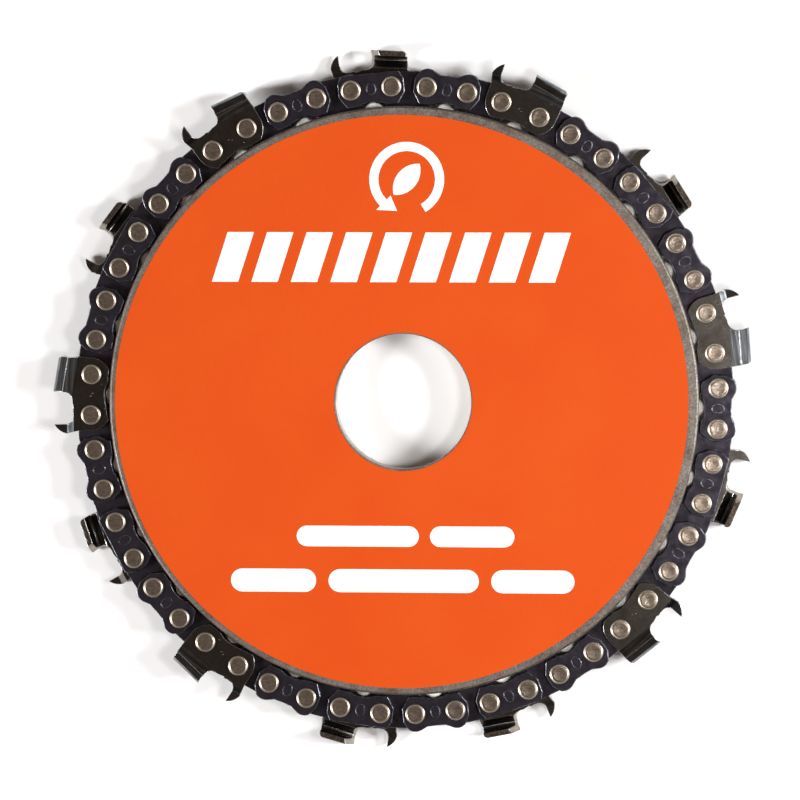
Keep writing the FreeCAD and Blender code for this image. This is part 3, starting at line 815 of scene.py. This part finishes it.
def finish_cutter_link(number):
    """A cutter's link: the cutter, the strap across from it, its stamp and their two rivets."""
    step = 2 * number - 2
    digits = f"{number:02d}"
    body = f"cutter_link_{digits}"
    side = cutter_side(number)
    turn = Matrix.Rotation(station_turn(step), 4, "Z")
    finish_cutter(number)
    node = nodes[f"preset_strap_{digits}"]
    name = f"preset_plate_{digits}"
    strap = new_object(name, strap_alone(node, step, name), body, "chain_black", OXIDE, WORN_OXIDE)
    round_edges(strap, STRAP_ROUNDING, edge_material=WORN_EDGE)
    rivets = gathered(f"preset_rivets_{digits}", [(RIVET, place) for place in rivet_places(step)])
    smooth_by_angle(rivets, SMOOTH_UNDER)
    pair = new_object(f"preset_rivets_{digits}", rivets, body, "rivet_steel", RIM, FACE)
    for piece in (strap, pair):
        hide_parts(node.name)
    if side > 0:
        dots = gathered(f"punch_dots_{digits}", [(PUNCH, turn)])
        smooth_by_angle(dots, SMOOTH_UNDER)
        new_object(f"punch_dots_{digits}", dots, body, "cutter_steel", CUTTER)
    stamp = gathered(f"preset_stamp_{digits}", [(OVALS[-side], turn)])
    smooth_by_angle(stamp, SMOOTH_UNDER)
    new_object(f"preset_stamp_{digits}", stamp, body, "chain_black", WORN_OXIDE)


finish_plain_links()
for number in range(1, CUTTERS + 1):
    finish_cutter_link(number)
for number in range(1, STATIONS + 1):
    link = nodes[f"drive_link_{number:02d}"]
    repaint(link, OXIDE, WORN_OXIDE)
    round_edges(link, LINK_ROUNDING, edge_material=WORN_EDGE)


# ---------------------------------------------------------------- stage, light and camera


def make_floor():
    """A wide pale floor just under the disc."""
    shape = bmesh.new()
    bmesh.ops.create_grid(shape, x_segments=4, y_segments=4, size=3.0)
    mesh = bpy.data.meshes.new("floor")
    shape.to_mesh(mesh)
    shape.free()
    floor = bpy.data.objects.new("floor", mesh)
    floor.location.z = cad_low.z - 0.1 * MM
    mesh.materials.append(pale_floor())
    bpy.context.scene.collection.objects.link(floor)


def soft_light(name, around, off_axis, distance, size, watts):
    """A square soft light aimed at the disc, from an angle round it and an angle off its axis."""
    lamp = bpy.data.lights.new(name, "AREA")
    lamp.shape = "SQUARE"
    lamp.size = size
    lamp.energy = watts
    holder = bpy.data.objects.new(name, lamp)
    around = math.radians(around)
    off_axis = math.radians(off_axis)
    reach = distance * math.sin(off_axis)
    holder.location = (reach * math.cos(around), reach * math.sin(around), distance * math.cos(off_axis))
    holder.rotation_euler = (-holder.location).to_track_quat("-Z", "Y").to_euler()
    bpy.context.scene.collection.objects.link(holder)


def make_world():
    """A studio surround: dark overhead, with pale walls to the right and, weaker, to the left."""
    world = bpy.data.worlds.new("studio")
    world.use_nodes = True
    tree = world.node_tree
    background = tree.nodes["Background"]
    direction = tree.nodes.new("ShaderNodeTexCoord")
    split = tree.nodes.new("ShaderNodeSeparateXYZ")
    tree.links.new(direction.outputs["Generated"], split.inputs["Vector"])
    height = tree.nodes.new("ShaderNodeMapRange")
    height.interpolation_type = "SMOOTHSTEP"
    height.inputs["From Min"].default_value = WALL_TOP
    height.inputs["From Max"].default_value = OVERHEAD_FOOT
    tree.links.new(split.outputs["Z"], height.inputs["Value"])
    across = tree.nodes.new("ShaderNodeMapRange")
    across.inputs["From Min"].default_value = -1.0
    tree.links.new(split.outputs["X"], across.inputs["Value"])
    walls = tree.nodes.new("ShaderNodeValToRGB")
    tree.links.new(across.outputs["Result"], walls.inputs["Fac"])
    levels = walls.color_ramp
    levels.elements[0].color = LEFT_WALL
    levels.elements[1].color = RIGHT_WALL
    for position, grey in WALL_GREYS:
        levels.elements.new(position).color = shade(grey, grey, grey)
    blend = tree.nodes.new("ShaderNodeMix")
    blend.data_type = "RGBA"
    tree.links.new(height.outputs["Result"], blend.inputs["Factor"])
    tree.links.new(walls.outputs["Color"], blend.inputs["A"])
    blend.inputs["B"].default_value = OVERHEAD
    tree.links.new(blend.outputs["Result"], background.inputs["Color"])
    background.inputs["Strength"].default_value = SURROUND_STRENGTH
    bpy.context.scene.world = world


def make_camera():
    """A long lens almost straight above, a little towards the upper right."""
    distance = 0.8
    tilt = math.radians(5.5)
    around = math.radians(48)
    view_width = 0.1303
    aim = Vector((-0.52, 0.28, 2.1)) * MM
    back = Vector((math.sin(tilt) * math.cos(around), math.sin(tilt) * math.sin(around), math.cos(tilt)))
    right = Vector((0, 1, 0)).cross(back).normalized()
    up = back.cross(right)
    camera = bpy.data.cameras.new("camera")
    camera.lens = camera.sensor_width * distance / view_width
    camera.clip_start = 0.01
    camera.clip_end = 20
    holder = bpy.data.objects.new("camera", camera)
    turn = Matrix((right, up, back)).transposed().to_4x4()
    holder.matrix_world = Matrix.Translation(aim + back * distance) @ turn
    bpy.context.scene.collection.objects.link(holder)
    bpy.context.scene.camera = holder


make_floor()
make_world()
for light in SOFT_LIGHTS:
    soft_light(*light)
make_camera()
bpy.context.scene.view_settings.view_transform = "Standard"
